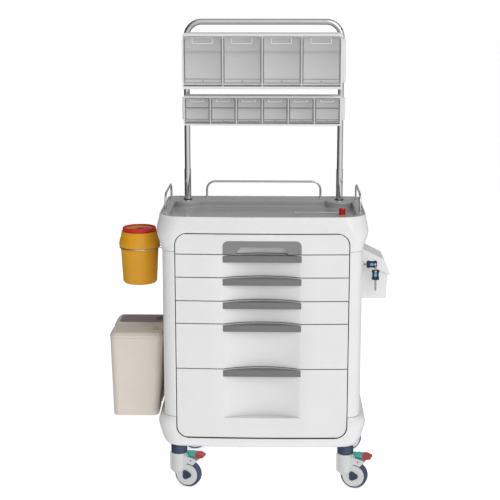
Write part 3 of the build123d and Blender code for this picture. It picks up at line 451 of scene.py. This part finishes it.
def build_worktop():
    low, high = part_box("worktop")
    deck = high.z
    loops = rim_loops(nodes["worktop"], deck)
    rim, tray = (even_loop(loop, STEP) for loop in loops[:2])
    holes = [even_loop(loop, STEP) for loop in loops[2:4]]
    floor = low.z + TRAY_SKIN
    bm = bmesh.new()
    quarter = [i / 6 * pi / 2 for i in range(7)]
    wall = [lifted(grown(tray, ROLL * (1 - sin(turn))), deck - ROLL * (1 - cos(turn))) for turn in quarter]
    wall += [lifted(grown(tray, -FOOT * (1 - cos(turn))), floor + FOOT * (1 - sin(turn))) for turn in quarter]
    inner = bridge_rings(bm, wall, closed_ends=False)
    for corners in geometry.tessellate_polygon([[vert.co for vert in inner[-1]]]):
        if len(set(corners)) == 3:
            bm.faces.new([inner[-1][i] for i in corners])
    edge = [lifted(grown(rim, -RIM * (1 - cos(turn))), deck - RIM * (1 - sin(turn))) for turn in quarter]
    outer = bridge_rings(bm, [lifted(rim, deck - 4 * MM)] + edge, closed_ends=False)
    collars = [bridge_rings(bm, [lifted(hole, deck), lifted(hole, floor)], closed_ends=False)[0] for hole in holes]
    border = [outer[-1], inner[0], *collars]
    flat = [vert for ring in border for vert in ring]
    for corners in geometry.tessellate_polygon([[vert.co for vert in ring] for ring in border]):
        if len(set(corners)) == 3:
            bm.faces.new([flat[i] for i in corners])
    top = piece_from(bm, "worktop_moulding", worktop_grey, "cart")
    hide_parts("worktop")
    knob_low, knob_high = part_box("red_knob")
    lathe("knob_seat", Vector((middle(knob_low.x, knob_high.x), middle(knob_low.y, knob_high.y), floor)), UP,
          [(13.5 * MM, -0.5 * MM), (13.5 * MM, 0.7 * MM), (13.2 * MM, 1.0 * MM)], worktop_grey, "cart",
          48)
    # dark rubber ring round each post
    for number, hole in enumerate(holes):
        centre = sum(hole, Vector((0, 0))) / len(hole)
        radius = (hole[0] - centre).length
        lathe(f"post_ring_{number + 1}", Vector((*centre, deck)), UP,
              [(radius, -1 * MM), (radius + 4 * MM, -1 * MM), (radius + 4 * MM, 1.5 * MM),
               (radius + 2.5 * MM, 3 * MM), (radius + 0.2 * MM, 3.4 * MM)], dark, "cart", turns=48)


build_worktop()


# ---------------------------------------------------------------- grips in the sides of the top shell

GRIP_FROM_FRONT = 210 * MM   # middle of the grip behind the front of the shell
GRIP_RISE = 41.4 * MM        # and above its foot
GRIP_INSET = 14.5 * MM       # mouth of the cup inside the widest place of the shell
GRIP_LONG = 224 * MM
GRIP_TALL = 30 * MM


def build_grip_cup(side):
    """Cup behind the hand grip opening, whose mouth follows the bulge of the shell."""
    low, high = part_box("top_shell")
    centre_x = middle(low.x, high.x)
    grip_y = low.y + GRIP_FROM_FRONT
    grip_z = low.z + GRIP_RISE
    wall = (high.x - low.x) / 2 - GRIP_INSET
    bm = bmesh.new()
    rings = []
    for depth, shrink in ((0, 0), (10, 0), (16, 2), (19, 6)):
        outline = rounded_rectangle(GRIP_LONG - 2 * shrink * MM, GRIP_TALL - 2 * shrink * MM, (9 - shrink) * MM)
        rings.append([Vector((centre_x + side * (wall - depth * MM + (0.3 * v if depth == 0 else 0)), grip_y + u,
                              grip_z + v)) for u, v in outline])
    made = bridge_rings(bm, rings, closed_ends=False)
    bm.faces.new(made[-1])
    piece_from(bm, f"grip_cup_{'left' if side < 0 else 'right'}", white, "cart")


for side in (-1, 1):
    build_grip_cup(side)


# ---------------------------------------------------------------- tilt bins

def outline_plate(name, centre, wide, tall, corner, border, thickness, made, body):
    """Thin raised frame round a rounded rectangle that faces the front."""
    outer = rounded_rectangle(wide, tall, corner, 3)
    inner = rounded_rectangle(wide - 2 * border, tall - 2 * border, corner - border / 2, 3)
    bm = bmesh.new()

    def ring(outline, depth):
        return [centre + Vector((u, -depth, v)) for u, v in outline]

    bridge_rings(bm, [ring(outer, 0), ring(outer, thickness), ring(inner, thickness), ring(inner, 0)], False)
    return piece_from(bm, name, made, body)


def build_bin_details(name, fold_share, dot_radius):
    """Label frame, fold line, side lines, and the bottom strip with its latch dot on one tilt bin."""
    low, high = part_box(name)
    centre_x = middle(low.x, high.x)
    wide = high.x - low.x
    tall = high.z - low.z
    face = low.y + (6 if tall > 0.12 else 5) * MM - 0.2 * MM
    front = Vector((0, -1, 0))
    across = Vector((1, 0, 0))
    outline_plate(f"{name}_label_frame", Vector((low.x + 0.485 * wide, face, high.z - 0.075 * tall)), 0.53 * wide,
                  0.13 * tall, 3.5 * MM, 2.2 * MM, 1.2 * MM, clear_edge, name)

    def line(label, x, z, long, high_by, made):
        outline = rounded_rectangle(long, high_by, min(long, high_by) * 0.45, 2)
        plate(f"{name}_{label}", Vector((x, face, z)), across, UP, outline, 0.6 * MM, made, name, 0.1)

    line("fold_line", centre_x, low.z + fold_share * tall, wide - 8 * MM, 2.4 * MM, smoke_edge)
    line("strip_line_high", centre_x, low.z + 0.13 * tall, wide - 12 * MM, 1.6 * MM, smoke_edge)
    line("strip_line_low", centre_x, low.z + 0.05 * tall, wide - 12 * MM, 1.8 * MM, smoke_edge)
    for side in (-1, 1):
        line(f"side_line_{'left' if side < 0 else 'right'}", centre_x + side * (wide / 2 - 5 * MM),
             low.z + 0.5 * tall, 2.2 * MM, 0.92 * tall, smoke_edge)
    lathe(f"{name}_latch_dot", Vector((centre_x, face, low.z + 0.085 * tall)), front,
          [(dot_radius, 0), (dot_radius, 1.2 * MM), (0.5 * dot_radius, 1.8 * MM)], dark, name, 16)


for number in range(1, 5):
    build_bin_details(f"upper_bin_{number}", 0.685, 1.9 * MM)
for number in range(1, 7):
    build_bin_details(f"lower_bin_{number}", 0.61, 1.2 * MM)

tube_low, tube_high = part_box("mast_tube")
for side, x in (("left", tube_low.x + 11 * MM), ("right", tube_high.x - 11 * MM)):
    screw(f"bridge_screw_{side}", Vector((x, tube_low.y - 0.3 * MM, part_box("upper_cabinet")[1].z + 12 * MM)),
          Vector((0, -1, 0)), 3.2 * MM, "mast")


# ---------------------------------------------------------------- casters

def rounded_triangle(reach, corner):
    """Outline of a triangle with wide rounds, whose first corner points along u."""
    points = []
    for number in range(3):
        mid = 2 * pi * number / 3
        for step in range(9):
            turn = mid + (step / 8 - 0.5) * 2 * pi / 3
            points.append(((reach - corner) * cos(mid) + corner * cos(turn),
                           (reach - corner) * sin(mid) + corner * sin(turn)))
    return points


CAP_START = 19.9 * MM     # from the middle plane of a wheel
CAP_THICKNESS = 2.6 * MM
CAP_REACH = 19 * MM
FORK_SCREW_Z = 106 * MM
FORK_SCREW_TRAIL = 52 * MM   # behind the swivel
FORK_SIDE = 19.3 * MM        # outer face of a fork, from the middle plane
PEDAL_SPLIT = 67 * MM        # where the pedal's colour changes, behind the swivel

for caster in CASTERS:
    swivel = Vector(joints[f"swivel_{caster}"]["pos_m"])
    hub = Vector(joints[f"wheel_spin_{caster}"]["pos_m"])
    trail = (hub - swivel).to_2d().normalized().to_3d()
    across = Vector(joints[f"wheel_spin_{caster}"]["axis"])
    for side in (-1, 1):
        place = Vector((swivel.x, swivel.y, FORK_SCREW_Z)) + trail * FORK_SCREW_TRAIL + across * side * FORK_SIDE
        screw(f"fork_screw_{caster}_{'a' if side < 0 else 'b'}", place, across * side, 2.4 * MM, f"caster_{caster}")
        plate(f"axle_cap_{caster}_{'a' if side < 0 else 'b'}", hub + across * side * CAP_START, trail,
              UP if (trail.cross(UP)).dot(across * side) > 0 else -UP, rounded_triangle(CAP_REACH, 10 * MM),
              CAP_THICKNESS, navy, f"wheel_{caster}", 1.0)
    if f"brake_{caster}" in joints:
        pedal = plastic(f"pedal_moulding_{caster}", (0.0, 0.42, 0.34), 0.34, coat=0.2, bump=0.08, tone=0.05)
        two_tone(pedal, swivel + trail * PEDAL_SPLIT, trail + UP * 0.25, (0.43, 0.03, 0.055))
        paint(nodes[f"brake_pedal_{caster}"], pedal)


# ---------------------------------------------------------------- sharps lid

lid_axis = Vector(joints["sharps_lid_turn"]["pos_m"])
INSERT_R = 52 * MM        # orange insert inside the red rim
FLAP_R = 33 * MM          # dark red flap over part of it
FLAP_OFFSET = Vector((16 * MM, -14 * MM, 0))
disc_tone(sharps_red, lid_axis, INSERT_R, (0.60, 0.24, 0.0))
disc_tone(sharps_red, lid_axis + FLAP_OFFSET, FLAP_R, (0.40, 0.005, 0.008))


# ---------------------------------------------------------------- waste lids

for end, inset_made, button_made in (("front", beige, gold), ("rear", mauve, brown)):
    body = f"waste_lid_{end}"
    low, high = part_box(body)
    top = high.z - 2 * MM
    x_low = low.x + 21 * MM
    x_high = high.x - 14 * MM
    y = middle(low.y, high.y)
    across = Vector((1, 0, 0))
    back = Vector((0, 1, 0))
    plate(f"{body}_inset", Vector((middle(x_low, x_high), y, top - 0.3 * MM)), across, back,
          rounded_rectangle(x_high - x_low, high.y - low.y - 34 * MM, 14 * MM), 0.9 * MM, inset_made, body)
    plate(f"{body}_button", Vector((high.x - 34 * MM, y, top)), across, back,
          rounded_rectangle(23 * MM, 31 * MM, 3.5 * MM), 2.2 * MM, button_made, body, 0.8)


# ---------------------------------------------------------------- keys

def waisted(long, wide, corner, waist):
    """Outline of a head whose long sides curve in between the corners."""
    points = []
    half = long / 2 - corner
    for sign in (1, -1):
        for step in range(9):
            u = sign * (half - 2 * half * step / 8)
            points.append((u, sign * (wide / 2 - waist * (1 - (u / half) ** 2))))
        for step in range(1, 6):
            turn = pi / 2 * step / 6 + (pi / 2 if sign > 0 else -pi / 2)
            points.append((-sign * half + corner * cos(turn), sign * (wide / 2 - corner) + corner * sin(turn)))
        for step in range(0, 6):
            turn = pi / 2 * step / 6 + (pi if sign > 0 else 0)
            points.append((-sign * half + corner * cos(turn), -sign * (wide / 2 - corner) + corner * sin(turn)))
    return points


def key_head(name, centre, along, body):
    """Both faces of a key head, its blue dots, and the bright eyelet near its end."""
    side = along.cross(Vector((0, 1, 0)))
    outline = waisted(38 * MM, 28 * MM, 6 * MM, 2.6 * MM)
    for face in (-1, 1):
        label = f"{name}_{'front' if face > 0 else 'back'}"
        up = side * face
        plate(f"{label}_shell", centre, along, up, outline, 3.4 * MM, key_black, body, 1.2)
        oval = [(7 * MM * cos(2 * pi * i / 24), 5 * MM * sin(2 * pi * i / 24)) for i in range(24)]
        normal = along.cross(up)
        plate(f"{label}_dot", centre + normal * 3.2 * MM, along, up, oval, 0.7 * MM, key_blue, body, 0.3)
        lathe(f"{label}_eyelet", centre + along * 12.5 * MM + normal * 3.2 * MM, normal,
              [(3.8 * MM, 0), (3.8 * MM, 0.5 * MM), (2.9 * MM, 0.9 * MM), (2.2 * MM, 0.4 * MM)], bright_steel, body,
              24)


def torus(name, centre, axis, radius, wire, made, body):
    side = axis.orthogonal().normalized()
    other = axis.cross(side)
    bm = bmesh.new()
    rings = []
    for i in range(40):
        out = side * cos(2 * pi * i / 40) + other * sin(2 * pi * i / 40)
        rings.append([bm.verts.new(centre + out * (radius + wire * cos(2 * pi * k / 12)) +
                                   axis * wire * sin(2 * pi * k / 12)) for k in range(12)])
    for ring_a, ring_b in zip(rings, rings[1:] + rings[:1]):
        for k in range(12):
            bm.faces.new((ring_a[k], ring_a[(k + 1) % 12], ring_b[(k + 1) % 12], ring_b[k]))
    return piece_from(bm, name, made, body)


def key_blade(name, start, along, length, body):
    """Flat blade with a cut bit along one side and a pointed end."""
    side = along.cross(Vector((0, 1, 0)))
    cuts = [0.0, 0.6, 0.2, 1.1, 0.5, 1.3, 0.3, 0.8]
    lower = [(length * (0.12 + 0.1 * i), (-4 + cut) * MM) for i, cut in enumerate(cuts)]
    outline = [(0, -4 * MM), *lower, (length, 0), (length - 5 * MM, 4 * MM), (0, 4 * MM)]
    return plate(name, start - Vector((0, -1 * MM, 0)), along, side, outline, 2 * MM, blade_steel, body,
                 0.2)


def build_keys():
    eye = Vector(joints["hanging_key_level"]["pos_m"])
    out = Vector((1, 0, 0))
    down = Vector((0, 0, -1))
    key_head("lock_key_head", eye - out * 14 * MM, out, "lock_key")
    blade_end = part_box("lock_barrel")[1].x
    blade = plate("lock_key_blade", Vector((blade_end, eye.y + 1 * MM, eye.z)), out, UP,
                  [(0, -4 * MM), (18 * MM, -4 * MM), (18 * MM, 4 * MM), (0, 4 * MM)], 2 * MM, blade_steel,
                  "lock_key", 0.2)
    lathe("lock_plug", Vector((blade_end - 3 * MM, eye.y, eye.z)), out,
          [(6.4 * MM, 0), (6.4 * MM, 2.4 * MM), (5.6 * MM, 3 * MM), (1 * MM, 3 * MM)], bright_steel, "lock_key")
    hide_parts("lock_key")
    ring = torus("key_ring", eye + down * 13 * MM, out, 13 * MM, 0.9 * MM, bright_steel, "hanging_key")
    head = eye + down * 39 * MM
    key_head("hanging_key_head", head, UP, "hanging_key")
    key_blade("hanging_key_blade", head + down * 17 * MM, down, 44 * MM, "hanging_key")
    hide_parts("hanging_key")


build_keys()


# ---------------------------------------------------------------- floor, light, camera

def build_stage():
    bm = bmesh.new()
    reach = 30.0
    bm.faces.new([bm.verts.new((x * reach, y * reach, -0.0005)) for x, y in ((-1, -1), (1, -1), (1, 1), (-1, 1))])
    mesh = bpy.data.meshes.new("floor")
    bm.to_mesh(mesh)
    bm.free()
    floor = bpy.data.objects.new("floor", mesh)
    bpy.context.scene.collection.objects.link(floor)
    paint_made = plastic("floor_paint", (0.9, 0.9, 0.9), 0.8, bump=0.02, tone=0.01)
    shader = paint_made.node_tree.nodes["Principled BSDF"]
    shader.inputs["Emission Color"].default_value = (1, 1, 1, 1)
    shader.inputs["Emission Strength"].default_value = 0.60
    mesh.materials.append(paint_made)
    floor.visible_glossy = False


def area_light(name, place, target, width, height, power, mirrored=True):
    light = bpy.data.lights.new(name, "AREA")
    light.shape = "RECTANGLE"
    light.size = width
    light.size_y = height
    light.energy = power
    lamp = bpy.data.objects.new(name, light)
    bpy.context.scene.collection.objects.link(lamp)
    lamp.location = place
    lamp.rotation_euler = (Vector(target) - Vector(place)).to_track_quat("-Z", "Y").to_euler()
    lamp.visible_glossy = mirrored


def ramp_over(tree, value, stops):
    """Grey ramp over a direction component that runs from -1 to 1."""
    shift = tree.nodes.new("ShaderNodeMapRange")
    shift.inputs["From Min"].default_value = -1.0
    tree.links.new(value, shift.inputs["Value"])
    made = tree.nodes.new("ShaderNodeValToRGB")
    ramp = made.color_ramp
    while len(ramp.elements) < len(stops):
        ramp.elements.new(0.5)
    for stop, (position, grey) in zip(ramp.elements, stops):
        stop.position = position
        stop.color = (grey, grey, grey, 1)
    tree.links.new(shift.outputs["Result"], made.inputs["Fac"])
    return made.outputs["Color"]


def build_world():
    """Bright studio in front and to the right, darker to the left and behind, so that tubes and corners read."""
    world = bpy.data.worlds.new("studio")
    bpy.context.scene.world = world
    world.use_nodes = True
    tree = world.node_tree
    background = tree.nodes["Background"]
    place = tree.nodes.new("ShaderNodeTexCoord")
    parts = tree.nodes.new("ShaderNodeSeparateXYZ")
    tree.links.new(place.outputs["Generated"], parts.inputs["Vector"])
    across = ramp_over(tree, parts.outputs["X"], ((0.0, 0.08), (0.2, 0.20), (0.42, 0.85), (0.75, 1.0), (1.0, 0.90)))
    depth = ramp_over(tree, parts.outputs["Y"], ((0.0, 1.0), (0.42, 0.95), (0.60, 0.22), (1.0, 0.40)))
    darker = tree.nodes.new("ShaderNodeMix")
    darker.data_type = "RGBA"
    darker.blend_type = "MULTIPLY"
    darker.inputs["Factor"].default_value = 1.0
    tree.links.new(across, darker.inputs["A"])
    tree.links.new(depth, darker.inputs["B"])
    path = tree.nodes.new("ShaderNodeLightPath")
    blend = tree.nodes.new("ShaderNodeMix")
    blend.data_type = "RGBA"
    blend.inputs["B"].default_value = (1, 1, 1, 1)
    tree.links.new(path.outputs["Is Camera Ray"], blend.inputs["Factor"])
    tree.links.new(darker.outputs["Result"], blend.inputs["A"])
    tree.links.new(blend.outputs["Result"], background.inputs["Color"])


build_stage()
build_world()
area_light("key", (1.6, -3.2, 3.0), (0, 0, 0.9), 1.6, 2.4, 30)
area_light("fill", (-2.6, -2.6, 1.6), (0, 0, 0.9), 1.2, 2.2, 2)
area_light("top", (0.1, 0.2, 3.6), (0, 0, 0.9), 2.4, 1.6, 14, mirrored=False)
area_light("back", (-1.4, 3.4, 2.4), (0, 0, 0.9), 2.0, 1.6, 14, mirrored=False)

camera_data = bpy.data.cameras.new("camera")
camera_data.lens = 88.7
camera = bpy.data.objects.new("camera", camera_data)
bpy.context.scene.collection.objects.link(camera)
camera.location = (0.1040, -4.4876, 1.8029)
camera.rotation_euler = (radians(78.05), 0, radians(1.31))
bpy.context.scene.camera = camera
bpy.context.scene.view_settings.view_transform = "Standard"
